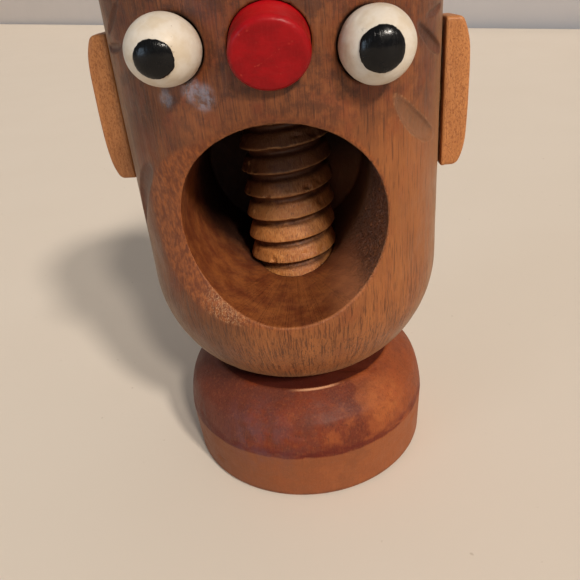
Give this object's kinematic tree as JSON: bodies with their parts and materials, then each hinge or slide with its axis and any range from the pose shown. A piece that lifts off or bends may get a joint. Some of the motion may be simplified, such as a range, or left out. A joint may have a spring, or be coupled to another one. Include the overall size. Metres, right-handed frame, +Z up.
{
  "type": "screw nutcracker figure",
  "caption": "Turned wooden nutcracker shaped as an open-mouthed head that climbs a coarse wooden screw standing on a round base.",
  "frame": {"origin": "centre of the base's flat underside", "axes": "+Z up along the screw, -Y out of the mouth, +X to the viewer's right when facing the mouth"},
  "size_m": [0.0888, 0.0822, 0.152],
  "materials": {
    "brown_wood": "satin",
    "base_wood": "satin",
    "screw_wood": "matte",
    "light_wood": "satin",
    "dowel_wood": "matte",
    "white_paint": "gloss",
    "black_paint": "gloss",
    "red_paint": "gloss"
  },
  "bodies": {
    "stand": {"base": "base_wood", "screw": "screw_wood"},
    "spindle_core": {"spindle_dowel": "dowel_wood"},
    "head": {"head": "brown_wood", "eye_left": "white_paint", "eye_right": "white_paint", "pupil_left": "black_paint", "pupil_right": "black_paint", "eye_peg_left": "dowel_wood", "eye_peg_right": "dowel_wood", "nose": "red_paint", "nose_peg": "dowel_wood", "ear_left": "light_wood", "ear_right": "light_wood", "ear_peg_left": "dowel_wood", "ear_peg_right": "dowel_wood"}
  },
  "joints": [
    {"name": "head_turn", "type": "hinge", "parent": "stand", "child": "spindle_core", "pos_m": [0, 0, 0.03], "axis": [0, 0, 1], "range_deg": [-60, 2160]},
    {"name": "head_rise", "type": "slide", "parent": "spindle_core", "child": "head", "axis": [0, 0, 1], "range_m": [-0.001, 0.036]}
  ],
  "couplings": [
    {"joint": "head_rise", "follows": "head_turn", "m_per_rad": 0.00095493}
  ]
}
